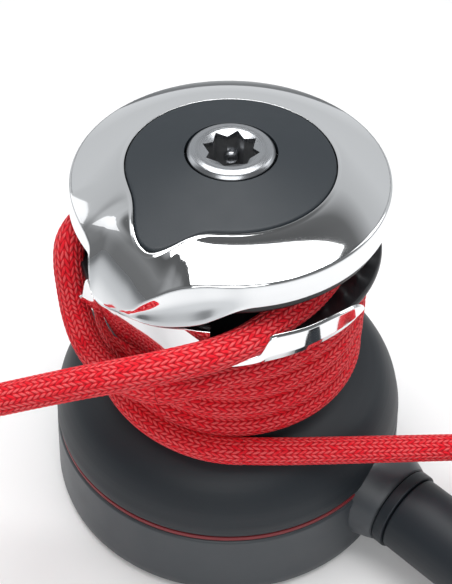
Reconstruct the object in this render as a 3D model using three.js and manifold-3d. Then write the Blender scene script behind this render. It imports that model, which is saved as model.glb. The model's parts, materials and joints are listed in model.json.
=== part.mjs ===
// Powered self-tailing sheet winch: drum, jaws, stripper, gear train, gearmotor and a loaded rope.
// Millimetres, +Z up. The origin is the centre of the face that sits on the deck.
import * as THREE from 'three';
import { mergeVertices } from 'three/addons/utils/BufferGeometryUtils.js';
import Module from 'manifold-3d';

// ---- driving dimensions -------------------------------------------------------------------
const GAP = 0.3; // clearance left between pieces that touch
const FINE = 40; // steps round a large visible ring
const COARSE = 24; // steps round a small or hidden ring

const BASE_TOP = 40; // top edge of the base housing wall
const BASE_WALL = 83.3; // inside radius of the base housing wall
const BASE_FLOOR = 5; // thickness of the base floor
const LEDGE_TOP = 32.7; // seat of the gear plate inside the base housing
const PLATE_TOP = 39; // top of the gear plate
const BELL_RADIUS = 86.9; // largest radius of the drum's bell
const DRUM_RADIUS = 51; // radius that the rope winds on
const DRUM_TOP = 143; // shoulder under the lower jaw
const NECK_RADIUS = 43.5; // neck of the drum inside the jaws
const NECK_TOP = 168.7; // seat of the upper jaw
const STEM_RADIUS = 39.5; // bearing radius of the fixed centre stem
const STEM_TOP = 187.7; // seat of the stripper
const JAW_RADIUS = 68.5; // outside radius of both jaws
const CAP_RADIUS = 70; // outside radius of the stripper's skirt
const SKIRT_BOTTOM = 178; // lower edge of the skirt away from the arm
const COVER_HOLE = 19.6; // hole in the cover round the socket collar
const SOCKET_SQUARE = 17.5; // side of each of the two squares of the handle socket
const SPINDLE_RADIUS = 8; // main spindle
const GEAR_CENTRES = 52; // spindle axis to each idler axis
const MODULE = 2; // gear module
const RING_TEETH = 66; // drum's internal ring gear
const PINION_TEETH = 14; // idler pinions
const GEAR_A = [23, 29]; // slow pair: spindle teeth, idler teeth
const GEAR_B = [28, 24]; // fast pair: spindle teeth, idler teeth
const DRIVE_TEETH = [28, 12]; // crossed helical pair: spindle wheel, motor pinion
const IDLER_ANGLES = [140, 222]; // where the two idlers stand, degrees
const MOTOR_ANGLE = -45; // direction of the motor's axis
const MOTOR_OFFSET = 20; // the motor's axis passes this far from the spindle
const MOTOR_HEIGHT = 27; // height of the motor's axis
const MOTOR_RADIUS = 19.3; // motor tube
const ROPE_IN_JAWS = 51; // radius of the rope's centre line inside the jaws
const ROPE_HEIGHT = 161.7; // height of the rope's centre line inside the jaws
const SLACK_ROPE = 6.8; // radius of the unloaded rope
const TIGHT_ROPE = 6.0; // radius of the loaded rope

const wasm = await Module();
wasm.setup();
const group = new THREE.Group();

// ---- finishes -----------------------------------------------------------------------------
const finish = (color, roughness, metalness) =>
  new THREE.MeshStandardMaterial({ color, roughness, metalness });
const CHROME = finish(0xd9dde0, 0.08, 1);
const SATIN = finish(0xc4c8cb, 0.35, 1);
const STEEL = finish(0x9a9ea2, 0.4, 1);
const BRONZE = finish(0xa9793f, 0.45, 1);
const ANODISED = finish(0x3c4248, 0.55, 0.4);
const BASE_GREY = finish(0x4b5056, 0.6, 0.3);
const BLACK_NYLON = finish(0x17191b, 0.45, 0);
const COVER_BLACK = finish(0x30363d, 0.6, 0);
const RED_RING = finish(0x8c2430, 0.5, 0);
const RED_ROPE = finish(0xd8252f, 0.85, 0);
const ACETAL = finish(0xe6e4dc, 0.5, 0);

// ---- shape helpers ------------------------------------------------------------------------
const radians = (degrees) => (degrees * Math.PI) / 180;
const lerp = (a, b, t) => a + (b - a) * t;
const smooth = (t) => t * t * (3 - 2 * t);
const ramp = (from, to, x) => smooth(Math.min(1, Math.max(0, (x - from) / (to - from))));

// Height or radius read from a list of [angle, value] pairs, joined by straight lines.
function along(pairs, angle) {
  const next = pairs.findIndex(([a]) => a >= angle);
  if (next <= 0) return next === 0 ? pairs[0][1] : pairs[pairs.length - 1][1];
  const [a0, v0] = pairs[next - 1];
  const [a1, v1] = pairs[next];
  return lerp(v0, v1, (angle - a0) / (a1 - a0));
}

// A geometry as one merged, outward-facing triangle mesh.
function closed(geometry) {
  const bare = geometry.clone();
  for (const name of Object.keys(bare.attributes)) {
    if (name !== 'position') bare.deleteAttribute(name);
  }
  const merged = mergeVertices(bare, 1e-4);
  const p = merged.getAttribute('position');
  const index = [...merged.index.array];
  const [a, b, c] = [new THREE.Vector3(), new THREE.Vector3(), new THREE.Vector3()];
  const kept = [];
  let volume = 0;
  for (let i = 0; i < index.length; i += 3) {
    const t = [index[i], index[i + 1], index[i + 2]];
    if (t[0] === t[1] || t[1] === t[2] || t[0] === t[2]) continue;
    kept.push(...t);
    [a, b, c].forEach((v, k) => v.fromBufferAttribute(p, t[k]));
    volume += a.dot(b.cross(c));
  }
  if (volume < 0) {
    for (let i = 0; i < kept.length; i += 3) [kept[i], kept[i + 1]] = [kept[i + 1], kept[i]];
  }
  merged.setIndex(kept);
  return merged;
}

const solid = (geometry) => {
  const mesh = closed(geometry);
  return new wasm.Manifold(new wasm.Mesh({
    numProp: 3,
    vertProperties: new Float32Array(mesh.getAttribute('position').array),
    triVerts: new Uint32Array(mesh.index.array),
  }));
};

function fromSolid(manifold) {
  const mesh = manifold.getMesh();
  const geometry = new THREE.BufferGeometry();
  const stride = mesh.numProp;
  const xyz = [];
  for (let i = 0; i < mesh.vertProperties.length; i += stride) {
    xyz.push(...mesh.vertProperties.slice(i, i + 3));
  }
  geometry.setAttribute('position', new THREE.Float32BufferAttribute(xyz, 3));
  geometry.setIndex([...mesh.triVerts]);
  return geometry;
}

const cut = (body, ...tools) =>
  fromSolid(tools.reduce((left, tool) => left.subtract(solid(tool)), solid(body)));
const join = (...bodies) =>
  fromSolid(bodies.slice(1).reduce((left, body) => left.add(solid(body)), solid(bodies[0])));

// A closed outline of [radius, height] corners turned about the Z axis.
function turned(outline, steps = FINE) {
  const loop = [...outline, outline[0]].map(([r, z]) => new THREE.Vector2(r, z));
  return new THREE.LatheGeometry(loop, steps).rotateX(Math.PI / 2);
}

const ring = (inner, outer, low, high, steps = COARSE) =>
  turned([[inner, low], [outer, low], [outer, high], [inner, high]], steps);
const rod = (radius, low, high, steps = 24) =>
  new THREE.CylinderGeometry(radius, radius, high - low, steps)
    .rotateX(Math.PI / 2).translate(0, 0, (low + high) / 2);
const prism = (shape, low, high, steps = 12) =>
  new THREE.ExtrudeGeometry(shape, { depth: high - low, bevelEnabled: false, curveSegments: steps })
    .translate(0, 0, low);

const polar = (radius, angle, z = 0) =>
  new THREE.Vector3(radius * Math.cos(radians(angle)), radius * Math.sin(radians(angle)), z);

// An arc-shaped bar: its closed section is a function of the angle, capped at both ends.
function arcBar(from, to, steps, section) {
  const first = section(from);
  const count = first.length;
  const xyz = [];
  const faces = [];
  for (let i = 0; i <= steps; i += 1) {
    const angle = lerp(from, to, i / steps);
    for (const [r, z] of section(angle)) xyz.push(...polar(r, angle, z).toArray());
  }
  for (let i = 0; i < steps; i += 1) {
    for (let j = 0; j < count; j += 1) {
      const [a, b] = [i * count + j, i * count + ((j + 1) % count)];
      faces.push(a, b, b + count, a, b + count, a + count);
    }
  }
  const cap = THREE.ShapeUtils.triangulateShape(first.map(([r, z]) => new THREE.Vector2(r, z)), []);
  for (const [a, b, c] of cap) {
    faces.push(a, c, b);
    faces.push(steps * count + a, steps * count + b, steps * count + c);
  }
  const geometry = new THREE.BufferGeometry();
  geometry.setAttribute('position', new THREE.Float32BufferAttribute(xyz, 3));
  geometry.setIndex(faces);
  return geometry;
}

// A ring whose closed section is a function of the angle, sampled at the given angles.
function shapedRing(angles, section) {
  const count = section(angles[0]).length;
  const xyz = angles.flatMap((angle) => section(angle).flatMap(([r, z]) => polar(r, angle, z).toArray()));
  const faces = [];
  angles.forEach((_, i) => {
    const next = (i + 1) % angles.length;
    for (let j = 0; j < count; j += 1) {
      const k = (j + 1) % count;
      faces.push(i * count + j, i * count + k, next * count + k);
      faces.push(i * count + j, next * count + k, next * count + j);
    }
  });
  const geometry = new THREE.BufferGeometry();
  geometry.setAttribute('position', new THREE.Float32BufferAttribute(xyz, 3));
  geometry.setIndex(faces);
  return geometry;
}

// A round bar along a smooth curve through the given points.
function tube(points, radius, steps, sides = 10) {
  const section = new THREE.Shape();
  for (let i = 0; i < sides; i += 1) {
    const a = (2 * Math.PI * i) / sides;
    const corner = [radius * Math.cos(a), radius * Math.sin(a)];
    if (i === 0) section.moveTo(...corner);
    else section.lineTo(...corner);
  }
  section.closePath();
  const path = new THREE.CatmullRomCurve3(points, false, 'centripetal');
  return new THREE.ExtrudeGeometry(section, { steps, extrudePath: path, bevelEnabled: false });
}

// A spur gear. The tips stop short of the pitch circle, so a meshing pair keeps a gap.
function gearShape(teeth, bore) {
  const tip = (teeth * MODULE) / 2 - 0.2;
  const root = tip - 0.9 * MODULE;
  const shape = new THREE.Shape();
  for (let i = 0; i < teeth; i += 1) {
    for (const [r, share] of [[root, 0], [tip, 0.3], [tip, 0.55]]) {
      const p = polar(r, (360 * (i + share)) / teeth);
      if (i === 0 && share === 0) shape.moveTo(p.x, p.y);
      else shape.lineTo(p.x, p.y);
    }
  }
  shape.closePath();
  const hole = new THREE.Path();
  hole.absarc(0, 0, bore, 0, 2 * Math.PI, true);
  shape.holes.push(hole);
  return shape;
}

function add(name, geometry, material, position = [0, 0, 0], turnZ = 0) {
  const mesh = new THREE.Mesh(closed(geometry), material);
  mesh.name = name;
  mesh.position.set(...position);
  mesh.rotation.z = turnZ;
  group.add(mesh);
}

// ---- base housing, gear plate and centre stem -----------------------------------------------
const motorAxis = polar(1, MOTOR_ANGLE);
const motorSide = polar(1, MOTOR_ANGLE + 90);

// Puts a shape built about the Z axis onto the motor's axis, z becoming the distance along it.
function onMotorAxis(geometry) {
  return geometry.clone()
    .rotateY(Math.PI / 2)
    .translate(0, MOTOR_OFFSET, 0)
    .rotateZ(radians(MOTOR_ANGLE))
    .translate(0, 0, MOTOR_HEIGHT);
}

function baseHousing() {
  const shell = turned([
    [0, 0], [85.5, 0], [88.2, 1.6], [89.2, 5], [89.2, 9], [88.4, 24], [87.4, BASE_TOP - 0.8],
    [86.6, BASE_TOP], [80.3, BASE_TOP], [80.3, LEDGE_TOP], [75.5, LEDGE_TOP], [75.5, 25],
    [BASE_WALL, 22], [BASE_WALL, BASE_FLOOR], [0, BASE_FLOOR],
  ]);
  const boltHoles = [0, 60, 120, 180, 240, 300].map((angle) => {
    const p = polar(73, angle + 12);
    return rod(4.3, -1, BASE_FLOOR + 1, 12).translate(p.x, p.y, 0);
  });
  const driveHole = onMotorAxis(rod(9, 60, 100, 16));
  return cut(shell, ...boltHoles, driveHole);
}

function gearPlate() {
  const disc = new THREE.Shape();
  disc.absarc(0, 0, 79.9, 0, 2 * Math.PI, false);
  const holes = [[0, 0, 11], ...IDLER_ANGLES.map((angle) => [...polar(GEAR_CENTRES, angle).toArray().slice(0, 2), 9.5])];
  for (const [x, y, r] of holes) {
    const hole = new THREE.Path();
    hole.absarc(x, y, r, 0, 2 * Math.PI, true);
    disc.holes.push(hole);
  }
  return prism(disc, LEDGE_TOP + GAP, PLATE_TOP, 14);
}

const centreStem = () => turned([
  [27, PLATE_TOP + GAP], [36, PLATE_TOP + GAP], [36, 62], [STEM_RADIUS, 64], [STEM_RADIUS, STEM_TOP],
  [18, STEM_TOP], [18, 170.3], [11, 170.3], [11, 158], [33, 152], [33, 66], [27, 60],
], COARSE);

add('base_housing', baseHousing(), BASE_GREY);
add('gear_plate', gearPlate(), STEEL);
add('center_stem', centreStem(), ANODISED);
for (const [i, angle] of [45, 135, 225, 315].entries()) {
  add(`stem_screw_${i + 1}`, rod(4, 27.8, LEDGE_TOP, 6), STEEL, polar(30.5, angle).toArray());
}
add('spindle_bush_lower', ring(8.3, 10.7, 33.2, 38.8, 24), BRONZE);
add('spindle_bush_upper', ring(8.3, 10.7, 158.4, 170, 24), BRONZE);
add('lower_roller_cage', ring(39.8, 45.9, 90, 106, FINE), ACETAL);
add('bearing_spacer', ring(40, 45.4, 106.4, 121.6), ACETAL);
add('upper_roller_cage', ring(39.8, 45.9, 122, 138, FINE), ACETAL);
add('red_wear_ring', ring(81, 86.4, BASE_TOP + GAP, 42.7, FINE), RED_RING);

// ---- drum and jaws --------------------------------------------------------------------------
const drum = () => turned([
  [86.5, 43.2], [BELL_RADIUS, 46], [86.1, 52], [84.5, 58], [80.3, 66.5], [74, 73], [61, 78.8],
  [54, 84.5], [DRUM_RADIUS, 95], [DRUM_RADIUS, DRUM_TOP], [NECK_RADIUS, DRUM_TOP],
  [NECK_RADIUS, NECK_TOP], [40.2, NECK_TOP], [40.2, 141], [46.2, 139], [46.2, 86], [58, 74.5],
  [66, 71], [72.4, 66], [72.4, 43.2],
]);

// The ring gear's internal teeth point inwards and stop short of the pitch circle.
function ringGear() {
  const outline = new THREE.Shape();
  outline.absarc(0, 0, 72.1, 0, 2 * Math.PI, false);
  const tip = (RING_TEETH * MODULE) / 2 + 0.2;
  const teeth = new THREE.Path();
  for (let i = 0; i < RING_TEETH; i += 1) {
    for (const [r, share] of [[tip + 1.8, 0], [tip, 0.5]]) {
      const p = polar(r, (-360 * (i + share)) / RING_TEETH);
      if (i === 0 && share === 0) teeth.moveTo(p.x, p.y);
      else teeth.lineTo(p.x, p.y);
    }
  }
  teeth.closePath();
  outline.holes.push(teeth);
  return prism(outline, 46, 58, 20);
}

const upperJaw = () => turned([
  [40.6, 169], [52, 169.1], [66.5, 170.2], [JAW_RADIUS, 172], [68, 177.4], [40.6, 177.4],
]);
const lowerJaw = () => turned([
  [43.9, 147.6], [60, 148], [67.4, 149.6], [JAW_RADIUS, 151.6], [67.6, 153.6], [66, 154.2],
  [43.9, 154.2],
]);

add('drum', drum(), ANODISED);
add('ring_gear', ringGear(), BRONZE);
add('lower_jaw', lowerJaw(), BLACK_NYLON);
add('upper_jaw', upperJaw(), BLACK_NYLON);
add('jaw_spring', ring(44.6, 49.5, DRUM_TOP + GAP, 146, FINE), STEEL);
for (const [i, angle] of [30, 150, 270].entries()) {
  add(`jaw_screw_${i + 1}`, rod(3.4, 177.7, 180.4, 6), STEEL, polar(54, angle).toArray());
}
add('drum_retainer_ring', ring(39.8, 47, 177.7, 180.2), STEEL);

// ---- stripper, its cover and its screws -----------------------------------------------------
// The arm hangs from the skirt at the front left; it is steep on its left side and long on its right.
const ARM_LEFT = -146;
const ARM_RIGHT = -78;
const armShare = (angle) =>
  ramp(ARM_LEFT - 1.5, ARM_LEFT + 1.5, angle) * (1 - ramp(-112, ARM_RIGHT, angle));
const skirtBottom = (angle) => lerp(SKIRT_BOTTOM, 160, armShare(angle));
const coverEdge = (angle) => {
  const away = ((angle + 124 + 540) % 360) - 180;
  const width = away < 0 ? 9.7 : 13;
  return 45.3 + 21 * Math.exp(-(Math.abs(away / width) ** 1.6));
};
const capTop = (radius) => 195 - 0.25 * (radius - 45.3);
const coverTop = (radius) => 201.4 - 0.225 * (radius - COVER_HOLE);

function capSection(angle) {
  const share = armShare(angle);
  const edge = Math.min(coverEdge(angle) + 0.5, 64.4);
  const bulge = 3 * share;
  const low = skirtBottom(angle);
  const inner = lerp(67.4, 69.4, ramp(ARM_LEFT - 14, ARM_LEFT - 6, angle) * (1 - ramp(ARM_RIGHT, -66, angle)));
  return [
    [22.5, 188.3], [22.5, 191.6], [edge, capTop(edge) - 2.6], [edge, capTop(edge)],
    [65.2 + bulge * 0.4, capTop(65.2)], [68.4 + bulge * 0.7, 187.4],
    [CAP_RADIUS + bulge, 181.5], [CAP_RADIUS + bulge, low], [inner, low], [inner, 180], [62, 187.7],
  ];
}

// The section is taken closer together where the arm's left side drops.
const capAngles = [];
for (let angle = -180; angle < 180; angle += 7.5) {
  const near = Math.abs(angle - ARM_LEFT) < 8 || Math.abs(angle + 124) < 18;
  if (near) capAngles.push(angle, angle + 2.5, angle + 5);
  else capAngles.push(angle);
}

// The claw carries on below the arm, close outside the jaws.
const clawBottom = [[-152, 133], [-148, 129.5], [-140, 131.5], [-127, 134.5], [-118, 140], [-101, 144]];
const claw = () => arcBar(-152, -101, 14, (angle) => {
  const low = along(clawBottom, angle);
  const high = lerp(157.5, 161, ramp(-152, -144, angle));
  return [[69.4, low], [71.4, low + 1], [71.4, high], [69.4, high]];
});

// The blade reaches under the tail of the rope and lifts it out of the jaws.
const bladeTop = [[-104, 150], [-88, 151], [-80, 152.5], [-76, 154.4], [-72, 156.6], [-69, 159.3],
  [-60, 159], [-50, 155.6], [-42, 154], [-35, 152.4]];
const bladeBottom = [[-104, 144], [-86, 144], [-66, 146.4], [-50, 148.6], [-38, 149], [-35, 150.4]];
const blade = () => arcBar(-104, -35, 22, (angle) => {
  const low = along(bladeBottom, angle);
  const high = along(bladeTop, angle);
  return [[70, low], [73.4, low + 0.6], [73.6, high], [70, high]];
});

const stripper = () => join(shapedRing(capAngles, capSection), claw(), blade());

const coverAngles = [];
for (let angle = -180; angle < 180; angle += 9) {
  if (Math.abs(angle + 120) < 25) coverAngles.push(angle, angle + 3, angle + 6);
  else coverAngles.push(angle);
}
const topCover = () => shapedRing(coverAngles, (angle) => {
  const edge = coverEdge(angle) - 0.1;
  const side = Math.min(edge, 63.8);
  return [
    [COVER_HOLE, 198.6], [COVER_HOLE, coverTop(COVER_HOLE)], [side - 1, coverTop(side) + 0.1],
    [side, coverTop(side) - 0.5], [side, capTop(side) - 2.2], [30, 193.4],
  ];
});

add('stripper', stripper(), CHROME);
add('top_cover', topCover(), COVER_BLACK);
for (const [i, angle] of [0, 90, 180].entries()) {
  add(`cap_screw_${i + 1}`, rod(3.6, 192.1, 193.1, 6), STEEL, polar(29, angle).toArray());
}

// ---- main spindle and handle socket -----------------------------------------------------------
// The socket is two equal squares, one turned 45 degrees on the other.
function star(turn) {
  const shape = new THREE.Shape();
  const tip = SOCKET_SQUARE / Math.SQRT2;
  const valley = SOCKET_SQUARE / 2 / Math.cos(Math.PI / 8);
  for (let i = 0; i < 16; i += 1) {
    const p = polar(i % 2 ? valley : tip, turn + 22.5 * i);
    if (i === 0) shape.moveTo(p.x, p.y);
    else shape.lineTo(p.x, p.y);
  }
  shape.closePath();
  return shape;
}

const SOCKET_FLOOR = 177;
const socketCut = () => prism(star(32.4), SOCKET_FLOOR, 206);
function mainSpindle() {
  const body = turned([
    [0, BASE_FLOOR + 1], [SPINDLE_RADIUS, BASE_FLOOR + 1], [SPINDLE_RADIUS, 171], [15.6, 172.5],
    [15.6, 199.4], [0, 199.4],
  ], COARSE);
  return cut(body, socketCut());
}

function socketCollar() {
  const body = turned([
    [8, 199.7], [19, 199.7], [19, 200.8], [17.7, 202.7], [15.4, 203.6], [13.4, 203.4],
    [12.6, 202.9], [8, 200.2],
  ], COARSE);
  return cut(body, socketCut());
}

const spindleWheel = DRIVE_TEETH[0] / 2;
add('main_spindle', mainSpindle(), STEEL);
add('socket_collar', socketCollar(), SATIN);
const SLOW_ROW = [7.5, 13]; // heights of the slow pair of gears
const FAST_ROW = [13.8, 19.6]; // heights of the fast pair of gears
add('spindle_gear_slow', prism(gearShape(GEAR_A[0], SPINDLE_RADIUS + GAP), ...SLOW_ROW), STEEL);
add('drive_wheel', ring(SPINDLE_RADIUS + GAP, spindleWheel - 0.2, 22.6, 31.4), BRONZE);

// The fast gear turns on pawls, so that it can overrun the spindle.
add('spindle_gear_fast', prism(gearShape(GEAR_B[0], 16.4), ...FAST_ROW), STEEL);
const pawl = () => {
  const nose = new THREE.Shape();
  nose.moveTo(-1.5, -1.5);
  nose.lineTo(1.5, -1.6);
  nose.lineTo(8.2, 0.6);
  nose.lineTo(8.2, 2.6);
  nose.lineTo(0, 2.4);
  nose.lineTo(-1.5, 1.5);
  nose.closePath();
  return prism(nose, FAST_ROW[0] + GAP, FAST_ROW[1] - GAP);
};
for (const [i, angle] of [20, 200].entries()) {
  add(`pawl_${i + 1}`, pawl(), STEEL, polar(11.6, angle).toArray(), radians(angle + 92));
  add(`pawl_spring_${i + 1}`, rod(1.2, FAST_ROW[0] + 0.6, FAST_ROW[1] - 0.6, 8), STEEL, polar(10, angle + 70).toArray());
}

// ---- idler gears on fixed pins ------------------------------------------------------------------
for (const [i, angle] of IDLER_ANGLES.entries()) {
  const [teeth, low, high] = i === 0 ? [GEAR_A[1], ...SLOW_ROW] : [GEAR_B[1], ...FAST_ROW];
  const wheel = prism(gearShape(teeth, 5.3), low, high);
  const barrel = ring(5.3, 8.6, low + 1, 50, 12);
  const pinion = prism(gearShape(PINION_TEETH, 5.3), 45.5, 58.5);
  const centre = polar(GEAR_CENTRES, angle).toArray();
  add(`idler_gear_${i + 1}`, join(wheel, barrel, pinion), STEEL, centre);
  add(`idler_pin_${i + 1}`, rod(5, BASE_FLOOR + GAP, 60.5, 12), STEEL, centre);
}

// ---- gearmotor at the front right -----------------------------------------------------------------
const HOUSING_END = 99;
function driveHousing() {
  const cone = onMotorAxis(turned([
    [11, 70], [25.5, 70], [25.5, 84], [21.2, HOUSING_END - 2], [20.2, HOUSING_END], [11, HOUSING_END],
  ], COARSE));
  const clear = rod(89.7, -5, BASE_TOP + 20, FINE);
  return cut(cone, clear);
}

add('drive_housing', driveHousing(), BASE_GREY);
add('motor_collar', onMotorAxis(ring(8, 20.4, HOUSING_END + GAP, 105, COARSE)), ANODISED);
add('motor_body', onMotorAxis(turned([
  [8, 105.3], [MOTOR_RADIUS, 105.3], [MOTOR_RADIUS, 178], [17, 178], [17, 112], [8, 110],
], COARSE)), ANODISED);
add('motor_end_cap', onMotorAxis(turned([
  [0, 178.3], [MOTOR_RADIUS, 178.3], [MOTOR_RADIUS, 183], [16, 186], [0, 186],
], COARSE)), BLACK_NYLON);
const driveShaft = () => onMotorAxis(turned([
  [0, -16], [4, -16], [4, -9], [5.8, -8], [5.8, 8], [4, 9], [4, 114], [15.5, 116], [15.5, 172],
  [0, 174],
], COARSE));
add('drive_shaft', driveShaft(), STEEL);
for (const [i, angle] of [90, 210, 330].entries()) {
  const head = rod(2.2, 186.3, 188.4, 6).translate(...polar(11, angle).toArray());
  add(`motor_screw_${i + 1}`, onMotorAxis(head), STEEL);
}

// ---- rope ---------------------------------------------------------------------------------------
// Four wraps as one ring with a round lobe for each wrap.
function ropeWraps() {
  const lobes = [91.7, 105, 118, 131.6];
  const outline = [[DRUM_RADIUS + GAP, 96.5], [53, lobes[0] - 2]];
  for (const centre of lobes) {
    for (const a of [-70, 0, 70]) {
      outline.push([57.4 + 5.8 * Math.cos(radians(a)), centre + 6.3 * Math.sin(radians(a))]);
    }
  }
  outline.push([DRUM_RADIUS + GAP, lobes[3] + 3]);
  return turned(outline, 40);
}

// From the top wrap up outside the claw, into the jaws at the left and round the back.
const LOOP_POINTS = [
  [-128, 71.8, 117], [-138, 72, 116.3], [-147, 73.6, 117.5], [-154, 76, 123], [-160, 76.8, 131],
  [-163.5, 77, 141], [-166.5, 76.4, 150], [-170.5, 74, 157], [-176, 69, 161],
  [-182, 62.5, ROPE_HEIGHT], [-190, 57, ROPE_HEIGHT], [-200, 53, ROPE_HEIGHT],
];
function ropeInJaws() {
  const points = LOOP_POINTS.map(([angle, r, z]) => polar(r, angle, z));
  for (let angle = -212; angle >= -384; angle -= 12) points.push(polar(ROPE_IN_JAWS, angle, ROPE_HEIGHT));
  return tube(points, 6.6, 52, 8);
}

// The tail leaves the jaws at the front right, passes over the blade and runs off to the left.
const TAIL_POINTS = [
  [45.9, -24.9, ROPE_HEIGHT], [39.2, -37.9, ROPE_HEIGHT], [31, -49.4, ROPE_HEIGHT],
  [22.4, -58, ROPE_HEIGHT], [13.5, -66.6, 161.6], [4.5, -73.4, 161], [-5, -78, 160.2], [-17, -81.4, 159],
  [-31.5, -83.4, 156.2], [-47.5, -83, 151], [-63, -81.5, 144.8], [-79, -80, 138], [-95, -78.5, 131],
  [-109, -77.3, 125],
];
const TAIL_KNOT = new THREE.Vector3(-122, -76.2, 119.4);

// The loaded lead runs straight from the foot of the drum to its eye at the right.
const LEAD_POINTS = [
  [6.6, -67.2, 83.5], [16, -66.9, 82.9], [30, -65.2, 81], [50, -61.8, 77.6], [72, -57.9, 73.8],
  [94, -54, 70], [116, -50.1, 66.2],
];
const LEAD_EYE = new THREE.Vector3(136, -46.5, 62.6);

const vectors = (points) => points.map((p) => new THREE.Vector3(...p));
add('rope_wraps', ropeWraps(), RED_ROPE);
add('rope_in_jaws', ropeInJaws(), RED_ROPE);
add('rope_tail', tube(vectors(TAIL_POINTS), SLACK_ROPE, 26, 8), RED_ROPE);
add('tail_knot', new THREE.SphereGeometry(13, 12, 8), RED_ROPE, TAIL_KNOT.toArray());
add('rope_lead', tube(vectors(LEAD_POINTS), TIGHT_ROPE, 8, 8), RED_ROPE);
const eye = new THREE.TorusGeometry(12.5, 5.5, 8, 18);
add('lead_eye', eye, RED_ROPE, LEAD_EYE.toArray(), radians(10));

export default group;
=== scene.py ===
import json
from math import cos, pi, radians, sin

import bpy
import numpy as np
from mathutils import Matrix, Vector


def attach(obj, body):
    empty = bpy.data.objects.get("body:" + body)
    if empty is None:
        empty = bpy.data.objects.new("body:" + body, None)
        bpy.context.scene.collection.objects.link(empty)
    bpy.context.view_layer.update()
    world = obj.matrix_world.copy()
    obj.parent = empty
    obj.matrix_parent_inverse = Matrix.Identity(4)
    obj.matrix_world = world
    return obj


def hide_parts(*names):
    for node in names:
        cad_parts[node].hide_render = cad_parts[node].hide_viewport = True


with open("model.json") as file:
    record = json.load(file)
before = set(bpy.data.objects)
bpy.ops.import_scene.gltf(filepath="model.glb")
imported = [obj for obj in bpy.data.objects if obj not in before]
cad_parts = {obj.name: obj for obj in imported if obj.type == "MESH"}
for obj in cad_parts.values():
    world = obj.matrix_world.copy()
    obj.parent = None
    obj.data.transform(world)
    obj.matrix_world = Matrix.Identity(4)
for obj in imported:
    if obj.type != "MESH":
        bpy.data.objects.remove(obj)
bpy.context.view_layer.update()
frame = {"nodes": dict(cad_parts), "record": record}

# ---- camera ------------------------------------------------------------------------------------------
# The camera stands in front of the winch, above it, and looks down on the cap.

camera_data = bpy.data.cameras.new("camera")
camera_data.sensor_width = 36.0
camera_data.lens = 73.97
camera_data.clip_start = 0.01
camera = bpy.data.objects.new("camera", camera_data)
bpy.context.collection.objects.link(camera)
CAMERA_DOWN = radians(44.836)
CAMERA_ROLL = 0.011
camera.matrix_world = (
    Matrix.Translation((-0.00153, -0.40053, 0.51577))
    @ Matrix.Rotation(pi / 2 - CAMERA_DOWN, 4, "X")
    @ Matrix.Rotation(CAMERA_ROLL, 4, "Z")
)
bpy.context.scene.camera = camera

# ---- the loaded lead of the rope ---------------------------------------------------------------------
# The sheet is a 12 to 14 mm rope with a plaited cover of red polyester, flecked with pale thread.
# Its loaded end comes in level from the right and meets the foot of the drum.

MM = 0.001
ROPE_STRANDS = 20  # columns of plait round the rope
PLAIT_PITCH = 2.9 * MM  # length of one stitch of the plait
PLAIT_HEIGHT = 0.32 * MM  # how far a stitch stands out
TIGHT_ROPE = 6.15 * MM
SLACK_ROPE = 6.75 * MM


def spline(knots, steps):
    """Catmull-Rom curve: each span is the cubic through its two knots, sampled evenly in its parameter."""
    p = np.asarray(knots, float)
    p = np.vstack([2 * p[0] - p[1], p, 2 * p[-1] - p[-2]])
    t = np.linspace(0, 1, steps, endpoint=False)[None, :, None]
    a, b, c, d = (p[i:len(p) - 3 + i, None, :] for i in range(4))
    curve = 0.5 * (2 * b + (c - a) * t + (2 * a - 5 * b + 4 * c - d) * t**2 + (3 * b - a - 3 * c + d) * t**3)
    return np.vstack([curve.reshape(-1, p.shape[1]), p[-2]])


def length_along(line):
    """Distance travelled along a line at each of its points."""
    return np.concatenate([[0], np.cumsum(np.linalg.norm(np.diff(line, axis=0), axis=1))])


def evenly(line, count):
    """The same line with its points spaced evenly by distance."""
    s = length_along(line)
    at = np.linspace(0, s[-1], count)
    return np.stack([np.interp(at, s, line[:, k]) for k in range(3)], axis=1)


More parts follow.
